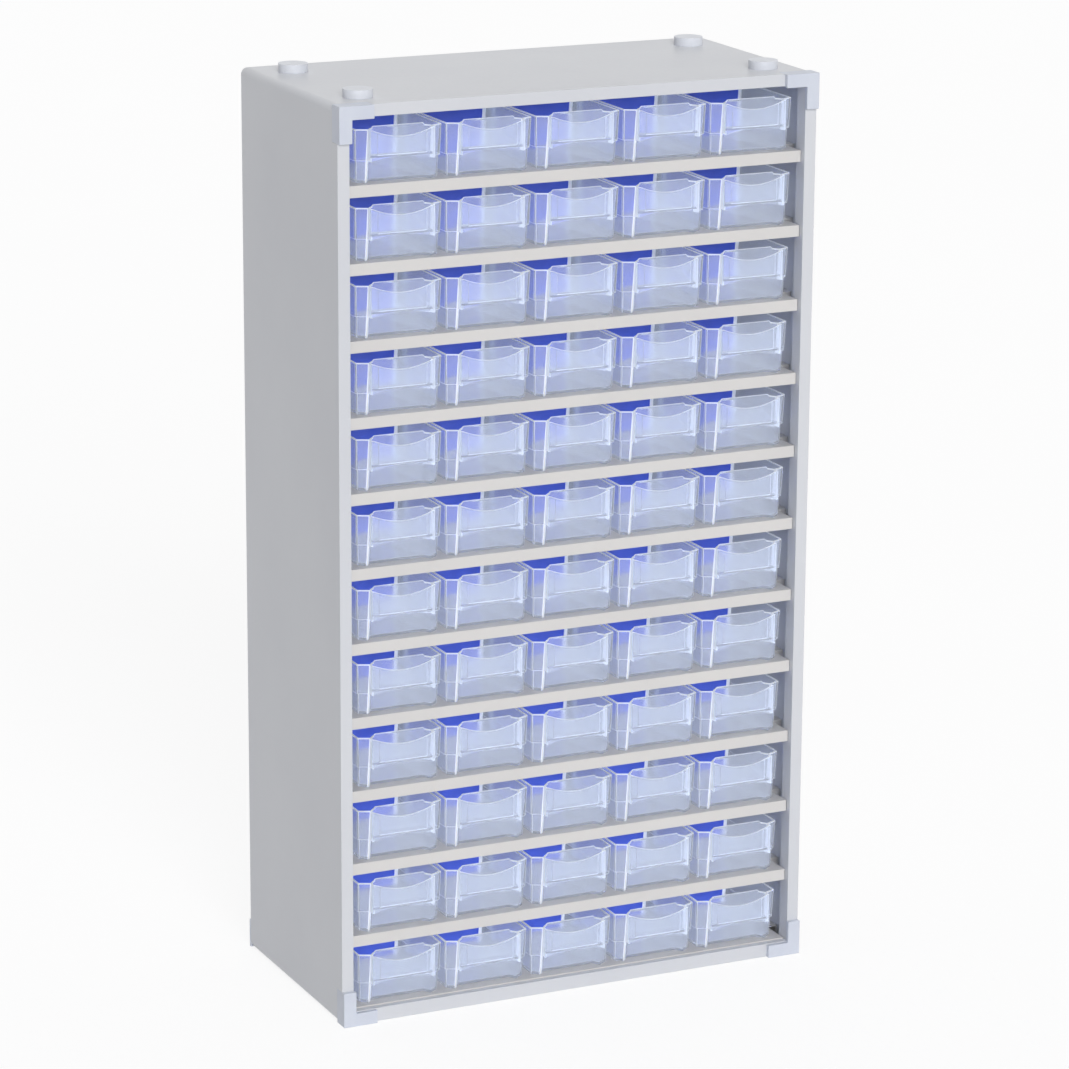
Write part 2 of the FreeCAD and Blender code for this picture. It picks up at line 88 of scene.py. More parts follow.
# Tray: the corners of its plan, from the right rear round the front to the left rear
BACK_CORNER = 4.0
FRONT_CORNER = 1.1
WING_CORNER = 1.3
RECESS_CORNER = 0.7
LEAST_CORNER = 0.25
CORNER_POINTS = (7, 5, 4, 4, 4, 4, 5, 7)
FRONT_CORNERS = (1, 6)
LEFT_WING = 5
PANEL_COLUMN = sum(CORNER_POINTS[:4])

# Label pocket
WINDOW_AHEAD = 3.6
WINDOW_HALF = 20.0
WINDOW_WALL = 1.0
WINDOW_DIP = 4.3
WINDOW_ARCH = 2.5
WINDOW_STEPS = 28
BAND_INSIDE = 15.2
BAND_WALL = 0.9
BAND_BELOW_RIM = 0.6
BAND_BELOW_TOP = 0.5
CHEEK = 1.0
CHEEK_BEHIND = 0.1
CHEEK_ABOVE_LEDGE = 0.2
CHEEK_BELOW_RIM = 0.1
POCKET_FLOOR = 16.5
POCKET_FLOOR_BEHIND = 0.4
SEAM_COVER = 0.3
SEAM_BEHIND = 0.6
SEAM_ABOVE_FLOOR = 0.4

# Divider and its slots
DIVIDER_PLACE = 61.0
DIVIDER_WALL = 1.0
DIVIDER_FIT = 0.2
DIVIDER_BELOW_RIM = 2.0
DIVIDER_CORNER = 1.5
DIVIDER_TURN = [math.radians(angle) for angle in (0, 18, 36, 54, 72, 90)]
SLOT_RIB = 1.0
SLOT_REACH = 2.0
SLOT_CLEAR = 0.3
SLOT_TOP = 29.2
SLOT_TOP_FALL = 1.0
SLOT_INTO_FLOOR = 0.3
SLOT_INTO_WALL = 0.5

# Plates: how far they run into a wall, how far their faces stay inside it, and their softened edges
BITE = 0.2
SINK = 0.02
EDGE_SOFT = 0.22
PANEL_SOFT = 0.3
POCKET_FLOOR_SOFT = 0.1
SEAM_SOFT = 0.15
DIVIDER_SOFT = 0.2
SOFT_MIDDLE = 0.3

# Edges of the steel and the plastic fittings
STEEL_EDGE = 0.3
CAP_EDGE = 0.35
STUD_EDGE = 0.9
EDGE_SEGMENTS = 3
EDGE_ANGLE = math.radians(40)
FLAT_ANGLE = math.radians(0.5)
WELD_REACH = 1e-6

# Places that follow from these sizes
WING_END = PANEL_HALF + PANEL_INSET / FLARE
WING_REACH = (RIM_HALF - WING_END) * math.tan(WING_SWEEP)
PANEL_FOOT = RIM * PANEL_SLOPE - WING_REACH + PANEL_INSET
WINDOW_FRONT = -WING_REACH - WINDOW_AHEAD
CHEEK_INSIDE = WINDOW_HALF - CHEEK
CHEEK_MIDDLE = WINDOW_HALF - CHEEK / 2
POCKET_SILL = POCKET_FLOOR - WINDOW_WALL

# Finishes
TONE_DETAIL = 3.0
TONE_ROUGHNESS = 0.6
TONE_RANGE = (0.3, 0.7)
SKIN_DETAIL = 2.0
SKIN_ROUGHNESS = 0.5
SKIN_RANGE = (0.25, 0.75)
BUMP_DEPTH = 0.0002
PAINT_SHEEN = 0.4
SOAK_SHARE = 0.15
SOAK_DEPTH = (0.002, 0.002, 0.002)
TRAY_IOR = 1.15

# The colour sockets of a Mix node, whose names repeat
MIX_FIRST = 6
MIX_SECOND = 7
MIX_RESULT = 2

# Studio
CAMERA_PLACE = (-1.088, -2.316, 0.967)
CAMERA_TURN = math.radians(-25.27)
CAMERA_TILT = math.radians(15.29)
CAMERA_ROLL = math.radians(0.37)
CAMERA_LENS = 147.5
CAMERA_SENSOR = 36.0
CAMERA_RANGE = 100
KEY_TOWARDS = (-0.16, -0.91, 0.38)
KEY_STRENGTH = 1.86
KEY_SPREAD = 30
TOP_TOWARDS = (0.1, 0.2, 1.0)
TOP_STRENGTH = 0.75
TOP_SPREAD = 60
SKY_LEVEL = 0.25
SKY_COLOR = (1, 1, 1, 1)
FLOOR_SIZE = 30.0
FLOOR_LIFT = 0.8
FLOOR_GLOW = 1.05


# Shader helpers

def srgb(red, green, blue):
    """A display colour, 0 to 255, as the linear colour that a shader takes."""
    linear = []
    for part in (red / 255, green / 255, blue / 255):
        linear.append(part / 12.92 if part <= 0.04045 else ((part + 0.055) / 1.055) ** 2.4)
    return (*linear, 1.0)


def new_group(name, inputs, outputs):
    """An empty shader node group with named sockets."""
    group = bpy.data.node_groups.new(name, "ShaderNodeTree")
    for label, kind, value in inputs:
        socket = group.interface.new_socket(name=label, in_out="INPUT", socket_type=kind)
        socket.default_value = value
    for label, kind in outputs:
        group.interface.new_socket(name=label, in_out="OUTPUT", socket_type=kind)
    return group, group.nodes.new("NodeGroupInput"), group.nodes.new("NodeGroupOutput")


def add_math(tree, operation, first, second):
    """A math node between two sockets or numbers, and its result."""
    node = tree.nodes.new("ShaderNodeMath")
    node.operation = operation
    for socket, value in zip(node.inputs, (first, second)):
        if isinstance(value, (int, float)):
            socket.default_value = value
        else:
            tree.links.new(value, socket)
    return node.outputs[0]


def add_noise(tree, place, scale, detail, roughness):
    """A noise texture at a place, and its value."""
    node = tree.nodes.new("ShaderNodeTexNoise")
    node.inputs["Detail"].default_value = detail
    node.inputs["Roughness"].default_value = roughness
    tree.links.new(place, node.inputs["Vector"])
    tree.links.new(scale, node.inputs["Scale"])
    return node.outputs["Fac"]


def add_spread(tree, value, limits):
    """A node that stretches a value's middle range over a whole range."""
    node = tree.nodes.new("ShaderNodeMapRange")
    node.inputs["From Min"].default_value = limits[0]
    node.inputs["From Max"].default_value = limits[1]
    tree.links.new(value, node.inputs["Value"])
    return node


def make_tone_drift():
    """Slow drift in a colour's tone, with a lighter and a darker end."""
    group, given, made = new_group(
        "tone_drift",
        [("Light Tone", "NodeSocketColor", (1, 1, 1, 1)),
         ("Deep Tone", "NodeSocketColor", (0.8, 0.8, 0.8, 1)),
         ("Scale", "NodeSocketFloat", 20.0)],
        [("Color", "NodeSocketColor")])
    place = group.nodes.new("ShaderNodeTexCoord")
    slow = add_noise(group, place.outputs["Object"], given.outputs["Scale"], TONE_DETAIL, TONE_ROUGHNESS)
    spread = add_spread(group, slow, TONE_RANGE)
    blend = group.nodes.new("ShaderNodeMix")
    blend.data_type = "RGBA"
    group.links.new(spread.outputs["Result"], blend.inputs["Factor"])
    group.links.new(given.outputs["Light Tone"], blend.inputs[MIX_FIRST])
    group.links.new(given.outputs["Deep Tone"], blend.inputs[MIX_SECOND])
    group.links.new(blend.outputs[MIX_RESULT], made.inputs["Color"])
    return group


def make_surface_texture():
    """Fine and broad unevenness of a sprayed or moulded skin: a height and a roughness."""
    group, given, made = new_group(
        "surface_texture",
        [("Grain Scale", "NodeSocketFloat", 900.0),
         ("Wave Scale", "NodeSocketFloat", 60.0),
         ("Grain Share", "NodeSocketFloat", 0.5),
         ("Dull", "NodeSocketFloat", 0.5),
         ("Shiny", "NodeSocketFloat", 0.35)],
        [("Height", "NodeSocketFloat"), ("Roughness", "NodeSocketFloat")])
    place = group.nodes.new("ShaderNodeTexCoord").outputs["Object"]
    grain = add_noise(group, place, given.outputs["Grain Scale"], SKIN_DETAIL, SKIN_ROUGHNESS)
    wave = add_noise(group, place, given.outputs["Wave Scale"], SKIN_DETAIL, SKIN_ROUGHNESS)
    fine = add_math(group, "MULTIPLY", grain, given.outputs["Grain Share"])
    height = add_math(group, "ADD", fine, wave)
    spread = add_spread(group, wave, SKIN_RANGE)
    group.links.new(given.outputs["Shiny"], spread.inputs["To Min"])
    group.links.new(given.outputs["Dull"], spread.inputs["To Max"])
    group.links.new(height, made.inputs["Height"])
    group.links.new(spread.outputs["Result"], made.inputs["Roughness"])
    return group


TONE_DRIFT = make_tone_drift()
SURFACE_TEXTURE = make_surface_texture()


def place_group(tree, group, **values):
    """A node group in a material, with its own values."""
    node = tree.nodes.new("ShaderNodeGroup")
    node.node_tree = group
    for label, value in values.items():
        node.inputs[label.replace("_", " ")].default_value = value
    return node


def make_finish(name, light, deep, drift, bump, **texture):
    """A material with a drifting colour and an uneven skin. Returns the material and its shader."""
    material = bpy.data.materials.new(name)
    material.use_nodes = True
    tree = material.node_tree
    shader = tree.nodes["Principled BSDF"]
    tone = place_group(tree, TONE_DRIFT, Light_Tone=light, Deep_Tone=deep, Scale=drift)
    skin = place_group(tree, SURFACE_TEXTURE, **texture)
    relief = tree.nodes.new("ShaderNodeBump")
    relief.inputs["Strength"].default_value = bump
    relief.inputs["Distance"].default_value = BUMP_DEPTH
    tree.links.new(tone.outputs["Color"], shader.inputs["Base Color"])
    tree.links.new(skin.outputs["Roughness"], shader.inputs["Roughness"])
    tree.links.new(skin.outputs["Height"], relief.inputs["Height"])
    tree.links.new(relief.outputs["Normal"], shader.inputs["Normal"])
    return material, shader


def blend_over(tree, shader, other, share):
    """Blends a second shader over a material's own by a share, 0 to 1."""
    blend = tree.nodes.new("ShaderNodeMixShader")
    tree.links.new(share, blend.inputs["Fac"])
    tree.links.new(shader.outputs["BSDF"], blend.inputs[1])
    tree.links.new(other, blend.inputs[2])
    tree.links.new(blend.outputs["Shader"], tree.nodes["Material Output"].inputs["Surface"])


def soak_light(shader):
    """Lets a little light sink into a solid plastic."""
    shader.inputs["Subsurface Weight"].default_value = SOAK_SHARE
    shader.inputs["Subsurface Radius"].default_value = SOAK_DEPTH


def make_clear(material, shader, clear, painted_glow_color, glow, through):
    """Turns a finish into clear plastic, which lets light through to what lies behind, with a faint glow:
    painted light that brightens the plastic.
    """
    shader.inputs["Transmission Weight"].default_value = clear
    shader.inputs["IOR"].default_value = TRAY_IOR
    shader.inputs["Emission Color"].default_value = painted_glow_color
    shader.inputs["Emission Strength"].default_value = glow
    tree = material.node_tree
    path = tree.nodes.new("ShaderNodeLightPath")
    open_air = tree.nodes.new("ShaderNodeBsdfTransparent")
    share = add_math(tree, "MULTIPLY", path.outputs["Is Shadow Ray"], through)
    blend_over(tree, shader, open_air.outputs["BSDF"], share)


# Finishes

def make_housing_paint():
    material, shader = make_finish(
        "housing_paint", light=srgb(214, 216, 221), deep=srgb(209, 211, 217), drift=9.0, bump=0.04,
        Grain_Scale=1500.0, Wave_Scale=420.0, Grain_Share=0.1, Dull=0.36, Shiny=0.3)
    shader.inputs["Specular IOR Level"].default_value = PAINT_SHEEN
    return material


# A slightly warmer copy of the housing paint, whose warmth is painted warm light on the shelves and their
# lips
def make_shelf_paint_warm_light():
    material, shader = make_finish(
        "shelf_paint_warm_light", light=srgb(217, 215, 213), deep=srgb(212, 210, 209), drift=14.0, bump=0.04,
        Grain_Scale=1500.0, Wave_Scale=420.0, Grain_Share=0.1, Dull=0.44, Shiny=0.38)
    shader.inputs["Specular IOR Level"].default_value = PAINT_SHEEN
    return material


def make_cap_plastic():
    material, shader = make_finish(
        "cap_plastic", light=srgb(212, 217, 228), deep=srgb(206, 211, 224), drift=60.0, bump=0.2,
        Grain_Scale=2600.0, Wave_Scale=350.0, Grain_Share=0.7, Dull=0.48, Shiny=0.38)
    soak_light(shader)
    return material


def make_stud_plastic():
    material, shader = make_finish(
        "stud_plastic", light=srgb(226, 229, 236), deep=srgb(219, 222, 230), drift=80.0, bump=0.18,
        Grain_Scale=2600.0, Wave_Scale=350.0, Grain_Share=0.6, Dull=0.42, Shiny=0.32)
    soak_light(shader)
    return material


def make_tray_plastic():
    """Milky, slightly blue clear plastic that blurs what lies behind it, with a faint painted glow that lifts
    the trays' dim insides.
    """
    material, shader = make_finish(
        "tray_plastic", light=srgb(230, 235, 244), deep=srgb(225, 230, 242), drift=40.0, bump=0.1,
        Grain_Scale=2200.0, Wave_Scale=180.0, Grain_Share=0.4, Dull=0.26, Shiny=0.18)
    make_clear(material, shader, clear=0.88, painted_glow_color=(0.86, 0.92, 1.0, 1.0), glow=0.045, through=0.96)
    return material


def make_tray_edge_highlight():
    """The same plastic where it is seen along its walls: denser, and whiter with a stronger glow, a painted
    highlight along the tray's edges.
    """
    material, shader = make_finish(
        "tray_edge_highlight", light=srgb(244, 248, 255), deep=srgb(238, 243, 254), drift=90.0, bump=0.1,
        Grain_Scale=2200.0, Wave_Scale=180.0, Grain_Share=0.4, Dull=0.38, Shiny=0.28)
    make_clear(material, shader, clear=0.4, painted_glow_color=(0.85, 0.92, 1.0, 1.0), glow=0.13, through=0.9)
    return material


def make_divider_plastic():
    material, _ = make_finish(
        "divider_plastic", light=srgb(83, 108, 228), deep=srgb(73, 98, 218), drift=50.0, bump=0.2,
        Grain_Scale=2400.0, Wave_Scale=260.0, Grain_Share=0.6, Dull=0.48, Shiny=0.36)
    return material


HOUSING_PAINT = make_housing_paint()
SHELF_PAINT_WARM_LIGHT = make_shelf_paint_warm_light()
CAP_PLASTIC = make_cap_plastic()
STUD_PLASTIC = make_stud_plastic()
TRAY_PLASTIC = make_tray_plastic()
TRAY_EDGE_HIGHLIGHT = make_tray_edge_highlight()
DIVIDER_PLASTIC = make_divider_plastic()


# Tray walls and floor

def panel_depth(level, inset=0.0):
    """Where the leaning label panel stands at a height."""
    return PANEL_FOOT - PANEL_SLOPE * level + inset


def recess_half(inset):
    """Half the label panel's width, which an inset widens."""
    return PANEL_HALF + FLARE_HALF * inset


def inside_step(level):
    """The inside has no ledge, so the step is spread over its height."""
    return LEDGE_STEP * (RIM - level) / (RIM - WALL)


def inside_half(level):
    """Half the tray's inside width at a height."""
    return RIM_HALF - (RIM - level) * SIDE_DRAFT - inside_step(level) - WALL


def rounding(radius, angle):
    """How far a round edge stays short of each of the two faces that it joins, part way round."""
    return radius * (1 - math.cos(angle)), radius * (1 - math.sin(angle))


def tray_corners(level, inset, step):
    """The tray's plan at a height: back, front corner, wing's inner end and label panel, right then left."""
    fall = RIM - level
    side = RIM_HALF - fall * SIDE_DRAFT - step - inset
    back = TRAY_LENGTH - fall * SIDE_DRAFT - inset
    sweep = math.tan(WING_SWEEP)
    wing = (fall * WING_DRAFT + inset) / math.cos(WING_SWEEP) - WING_REACH - WING_END * sweep
    corner = wing + step / math.cos(WING_SWEEP) + side * sweep
    panel = panel_depth(level, inset)
    half = recess_half(inset)
    end = (panel + half * FLARE - wing) / (FLARE + sweep)
    right = [(side, back), (side, corner), (end, wing + end * sweep), (half, panel)]
    return right + mirrored(right)


def tray_ring(level, inset, step):
    """The plan with round corners; an inset shrinks the outer corners and opens the hollow ones."""
    outward = (BACK_CORNER, FRONT_CORNER, WING_CORNER)
    radii = [max(radius - inset, LEAST_CORNER) for radius in outward] + [RECESS_CORNER + inset]
    radii += radii[::-1]
    corners = [Vector(corner) for corner in tray_corners(level, inset, step)]
    places = []
    for index, corner in enumerate(corners):
        before = (corners[index - 1] - corner).normalized()
        after = (corners[(index + 1) % len(corners)] - corner).normalized()
        turn = math.pi - before.angle(after)
        reach = radii[index] * math.tan(turn / 2)
        centre = corner + (before + after).normalized() * (radii[index] / math.cos(turn / 2))
        first = corner + before * reach - centre
        last = corner + after * reach - centre
        for count in range(CORNER_POINTS[index]):
            spoke = first.slerp(last, count / (CORNER_POINTS[index] - 1)) * radii[index]
            places.append((centre.x + spoke.x, centre.y + spoke.y, level))
    return places


def tray_profile():
    """Rings up the outside, over the rim and down inside: height, inset, step, and the finish up to there."""
    rings = []
    for angle in QUARTER_TURN:
        level, inset = rounding(FLOOR_ROUND, angle)
        rings.append((level, inset, LEDGE_STEP, FACE))
    for rise, share, finish in LEDGE_TURN:
        rings.append((LEDGE + rise, 0.0, LEDGE_STEP * share, finish))
    rings.append((RIM - RIM_HIGHLIGHT_BAND, 0.0, 0.0, FACE))
    # The band below the rim, the rim's rounding and its inside edge get the painted highlight
    for angle in QUARTER_TURN:
        inset, fall = rounding(RIM_ROUND, angle)
        rings.append((RIM - fall, inset, 0.0, EDGE_HIGHLIGHT))
    for angle in reversed(QUARTER_TURN):
        inset, fall = rounding(RIM_ROUND, angle)
        level = RIM - fall
        rings.append((level, WALL - inset, inside_step(level), EDGE_HIGHLIGHT))
    for angle in reversed(QUARTER_TURN):
        rise, inset = rounding(FLOOR_ROUND, angle)
        level = WALL + rise
        rings.append((level, WALL + inset, inside_step(level), FACE))
    return rings


def highlight_columns():
    """The steps round a ring that get the painted highlight: the left wing's inner end, and both sides of the
    front corners.
    """
    columns = set()
    start = 0
    for corner, points in enumerate(CORNER_POINTS):
        steps = range(start + 1, start + points)
        if corner == LEFT_WING:
            columns.update(steps)
        if corner in FRONT_CORNERS:
            columns.update((steps[0], steps[-1]))
        start += points
    return columns


def as_mesh(mesh, name):
    """Closes a mesh edit, with every face turned outwards and the tray's two finishes."""
    bmesh.ops.recalc_face_normals(mesh, faces=mesh.faces)
    data = bpy.data.meshes.new(name)
    mesh.to_mesh(data)
    mesh.free()
    data.materials.append(TRAY_PLASTIC)
    data.materials.append(TRAY_EDGE_HIGHLIGHT)
    return data


def build_tray_shell():
    """The moulded walls and floor as one skin of rings."""
    mesh = bmesh.new()
    bright = highlight_columns()
    last = None
    for level, inset, step, finish in tray_profile():
        ring = [mesh.verts.new(place) for place in tray_ring(level, inset, step)]
        if last is None:
            mesh.faces.new(ring)
        else:
            for index in range(len(ring)):
                corners = (last[index - 1], last[index], ring[index], ring[index - 1])
                # The painted highlight goes on the listed columns and on the highlight rings, but not on the
                # label panel's column
                plain = FACE if index == PANEL_COLUMN else finish
                mesh.faces.new(corners).material_index = EDGE_HIGHLIGHT if index in bright else plain
        last = ring
    mesh.faces.new(last)
    return as_mesh(mesh, "tray_shell")


# Plates: a flat outline is turned across the drawer, perhaps leaning, along its side, or into its plan

ALONG = Matrix(((0, 0, 1, 0), (1, 0, 0, 0), (0, 1, 0, 0), (0, 0, 0, 1)))
PLAN = Matrix.Identity(4)


def across(slope=0.0):
    return Matrix(((1, 0, 0, 0), (0, -slope, 1, 0), (0, 1, 0, 0), (0, 0, 0, 1)))


def mirrored(outline):
    return [(-u, v) for u, v in reversed(outline)]


def shrunk(outline, inset):
    """An outline, drawn counter-clockwise, moved inwards."""
    places = []
    for index, place in enumerate(outline):
        here = Vector(place)
        before = (here - Vector(outline[index - 1])).normalized().orthogonal()
        after = (Vector(outline[(index + 1) % len(outline)]) - here).normalized().orthogonal()
        places.append(here + (before + after) * inset / (1 + before.dot(after)))
    return places


def slab(name, outline, low, high, turn, soft=EDGE_SOFT, face=FACE, highlight_from=0.0):
    """A plate between two depths, with softened edges that get the painted highlight above a height."""
    mesh = bmesh.new()
    depths = [(low, soft), (low + soft * SOFT_MIDDLE, soft * SOFT_MIDDLE), (low + soft, 0.0)]
    depths += [(low + high - depth, inset) for depth, inset in reversed(depths)]
    last = None
    for depth, inset in depths:
        ring = [mesh.verts.new((place.x, place.y, depth)) for place in shrunk(outline, inset)]
        if last is None:
            mesh.faces.new(ring).material_index = face
        else:
            for index in range(len(ring)):
                corners = (last[index - 1], last[index], ring[index], ring[index - 1])
                bright = min(ring[index].co.y, ring[index - 1].co.y) >= highlight_from
                mesh.faces.new(corners).material_index = EDGE_HIGHLIGHT if bright else face
        last = ring
    mesh.faces.new(last).material_index = face
    bmesh.ops.transform(mesh, matrix=turn, verts=mesh.verts)
    return as_mesh(mesh, name)


# Label pocket and slots

def raised_panel_slab():
    """The top of the label panel, which stands above the rim."""
    half = recess_half(BITE)
    slope = PANEL_TOP - RIM
    outline = [(-half, RIM - WALL), (half, RIM - WALL), (half, RIM), (half - slope, PANEL_TOP)]
    outline += [(slope - half, PANEL_TOP), (-half, RIM)]
    front = PANEL_FOOT + SINK
    return slab("raised_panel", outline, front, front + WALL - 2 * SINK, across(PANEL_SLOPE), PANEL_SOFT)


def window_top(x):
    """The window's top edge: a hollow between its ends."""
    return RIM - WINDOW_DIP * max(0.0, 1 - (x / CHEEK_INSIDE) ** 2)


def window_foot(x):
    """The window's lower edge: a low arch."""
    return LEDGE + WINDOW_ARCH * (1 - (x / WINDOW_HALF) ** 2)


def window_slab():
    """The upright label window."""
    runs = [WINDOW_HALF * (2 * step / WINDOW_STEPS - 1) for step in range(WINDOW_STEPS + 1)]
    outline = [(x, window_foot(x)) for x in runs] + [(x, window_top(x)) for x in reversed(runs)]
    back = WINDOW_FRONT + WINDOW_WALL
    return slab("window", outline, WINDOW_FRONT, back, across(), highlight_from=POCKET_FLOOR)


def window_band_slabs():
    """The window's thicker ends, of which the right one has a painted highlight on its edges."""
    foot = POCKET_SILL + WINDOW_WALL / 2
    band = [(BAND_INSIDE, foot), (CHEEK_MIDDLE, foot), (CHEEK_MIDDLE, RIM - BAND_BELOW_RIM)]
    band.append((BAND_INSIDE, window_top(BAND_INSIDE) - BAND_BELOW_TOP))
    front = WINDOW_FRONT + WINDOW_WALL / 2
    back = front + WINDOW_WALL / 2 + BAND_WALL
    slabs = []
    for outline, highlight_from in ((band, 0.0), (mirrored(band), RIM)):
        slabs.append(slab("window_band", outline, front, back, across(), highlight_from=highlight_from))
    return slabs


def cheek_slabs():
    """The pocket's two ends, from the window back into the wings, all in the painted highlight finish."""
    inset = BITE - (CHEEK_INSIDE - recess_half(BITE)) * FLARE
    front = WINDOW_FRONT + CHEEK_BEHIND
    low = LEDGE + CHEEK_ABOVE_LEDGE
    high = RIM - CHEEK_BELOW_RIM
    outline = [(front, low), (panel_depth(LEDGE, inset), low), (panel_depth(RIM, inset), high), (front, high)]
    slabs = []
    for start in (CHEEK_INSIDE, -WINDOW_HALF):
        slabs.append(slab("cheek", outline, start + SINK, start + CHEEK - SINK, ALONG, face=EDGE_HIGHLIGHT))
    return slabs


def pocket_floor_slab():
    """The pocket's floor, from the window back into the label panel and the wings."""
    half = recess_half(BITE)
    back = panel_depth(POCKET_SILL, BITE)
    side_back = back - (CHEEK_MIDDLE - half) * FLARE
    outline = [(CHEEK_MIDDLE, WINDOW_FRONT + POCKET_FLOOR_BEHIND), (CHEEK_MIDDLE, side_back), (half, back)]
    outline += mirrored(outline)
    return slab("pocket_floor", outline, POCKET_SILL, POCKET_FLOOR, PLAN, POCKET_FLOOR_SOFT)


def pocket_seam_slab():
    """The seam where the pocket's floor meets the window, a strip in the painted highlight finish."""
    reach = CHEEK_MIDDLE - SINK
    low = POCKET_SILL + SINK
    high = POCKET_FLOOR + SEAM_ABOVE_FLOOR
    outline = [(-reach, low), (reach, low), (reach, high), (-reach, high)]
    back = WINDOW_FRONT + WINDOW_WALL + SEAM_BEHIND
    return slab("pocket_seam", outline, WINDOW_FRONT + SEAM_COVER, back, across(), SEAM_SOFT, face=EDGE_HIGHLIGHT)


def label_pocket_slabs():
    """The raised panel, the window and its thicker ends, the cheeks, and the pocket's floor and seam."""
    slabs = [raised_panel_slab(), window_slab()]
    slabs += window_band_slabs()
    slabs += cheek_slabs()
    slabs += [pocket_floor_slab(), pocket_seam_slab()]
    return slabs


def slot_rib_slabs():
    """Two ribs on each side wall, which hold the divider's ends, in the painted highlight finish."""
    low = WALL - SLOT_INTO_FLOOR
    foot = inside_half(low)
    head = inside_half(SLOT_TOP)
    rib = [(foot - SLOT_REACH, low), (foot + SLOT_INTO_WALL, low)]
    rib += [(head + SLOT_INTO_WALL, SLOT_TOP), (head - SLOT_REACH, SLOT_TOP - SLOT_TOP_FALL)]
    slabs = []
    for start in (DIVIDER_PLACE - SLOT_CLEAR - SLOT_RIB, DIVIDER_PLACE + DIVIDER_WALL + SLOT_CLEAR):
        for outline in (rib, mirrored(rib)):
            slabs.append(slab("slot_rib", outline, start, start + SLOT_RIB, across(), face=EDGE_HIGHLIGHT))
    return slabs


# Drawers

def join_slabs(shell, slabs, name):
    """One skin round a shell and its slabs."""
    whole = bpy.data.objects.new(name, shell)
    bpy.context.collection.objects.link(whole)
    helpers = []
    for data in slabs:
        helper = bpy.data.objects.new("helper", data)
        bpy.context.collection.objects.link(helper)
        helpers.append(helper)
        union = whole.modifiers.new("union", "BOOLEAN")
        union.operation = "UNION"
        union.solver = "EXACT"
        union.material_mode = "INDEX"
        union.object = helper
    bpy.context.view_layer.update()
    data = bpy.data.meshes.new_from_object(whole.evaluated_get(bpy.context.evaluated_depsgraph_get()))
    for thing in [whole] + helpers:
        bpy.data.objects.remove(thing)
    return data


def finish_mesh(data, name):
    """Metres, smooth where the skin turns gently, sharp where it folds."""
    data.name = name
    data.transform(Matrix.Scale(MM, 4))
    data.polygons.foreach_set("use_smooth", [True] * len(data.polygons))
    data.set_sharp_from_angle(angle=FOLD_ANGLE)
    return data


def build_tray_mesh():
    data = join_slabs(build_tray_shell(), label_pocket_slabs() + slot_rib_slabs(), "tray")
    return finish_mesh(data, "tray")


def build_divider_mesh():
    """A plate with rounded top corners, which stands on the tray's floor between the ribs."""
    top = RIM - DIVIDER_BELOW_RIM
    low = inside_half(WALL + FLOOR_ROUND) - DIVIDER_FIT
    high = inside_half(top) - DIVIDER_FIT
    outline = [(low - FLOOR_ROUND, WALL), (low, WALL + FLOOR_ROUND)]
    for angle in DIVIDER_TURN:
        inset, fall = rounding(DIVIDER_CORNER, angle)
        outline.append((high - inset, top - fall))
    outline += mirrored(outline)
    data = slab("divider", outline, DIVIDER_PLACE, DIVIDER_PLACE + DIVIDER_WALL, across(), DIVIDER_SOFT)
    data.materials.clear()
    data.materials.append(DIVIDER_PLASTIC)
    data.polygons.foreach_set("material_index", [0] * len(data.polygons))
    return finish_mesh(data, "divider")


def drawer_node(row, column):
    return f"drawer_row_{row}" if row in SHARED_ROWS else f"drawer_r{row:02d}_c{column}"


def drawer_place(row, column):
    """A drawer's own zero: its underside, in the middle, level with its front corners."""
    low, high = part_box(drawer_node(row, column))
    left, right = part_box(drawer_node(1, column))
    return Vector(((left.x + right.x) / 2, high.y - TRAY_LENGTH * MM, low.z))


def add_drawers():
    """A tray and its divider in each bay, which slide with the drawer that they stand for."""
    tray_mesh = build_tray_mesh()
    divider_mesh = build_divider_mesh()
    for row in range(1, ROWS + 1):
        for column in range(1, COLUMNS + 1):
            node = drawer_node(row, column)
            place = drawer_place(row, column)
            for kind, data in (("tray", tray_mesh), ("divider", divider_mesh)):
                piece = bpy.data.objects.new(f"{kind}_r{row:02d}_c{column}", data)
                bpy.context.collection.objects.link(piece)
                piece.location = place
                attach(piece, node)
                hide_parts(node)


# Housing, shelves, caps and studs

def dress(node, finish, edge):
    """Gives a piece of the cabinet its finish and softens its edges."""
    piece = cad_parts[node]
    piece.data.materials.clear()
    piece.data.materials.append(finish)
    weld = piece.modifiers.new("weld", "WELD")
    weld.merge_threshold = WELD_REACH
    flat = piece.modifiers.new("flat_faces", "DECIMATE")
    flat.decimate_type = "DISSOLVE"
    flat.angle_limit = FLAT_ANGLE
    soft = piece.modifiers.new("soft_edge", "BEVEL")
    soft.width = edge * MM
    soft.segments = EDGE_SEGMENTS
    soft.limit_method = "ANGLE"
    soft.angle_limit = EDGE_ANGLE


def dress_cabinet():
    dress("housing_shell", HOUSING_PAINT, STEEL_EDGE)
    dress("back_panel", HOUSING_PAINT, STEEL_EDGE)
    # The shelves take the warmer copy of the paint, with its painted warm light
    dress("floor_shelf", SHELF_PAINT_WARM_LIGHT, STEEL_EDGE)
    dress("shelves", SHELF_PAINT_WARM_LIGHT, STEEL_EDGE)
    dress("front_corner_caps", CAP_PLASTIC, CAP_EDGE)
    dress("rear_corner_caps", CAP_PLASTIC, CAP_EDGE)
    dress("stacking_studs", STUD_PLASTIC, STUD_EDGE)


# Studio

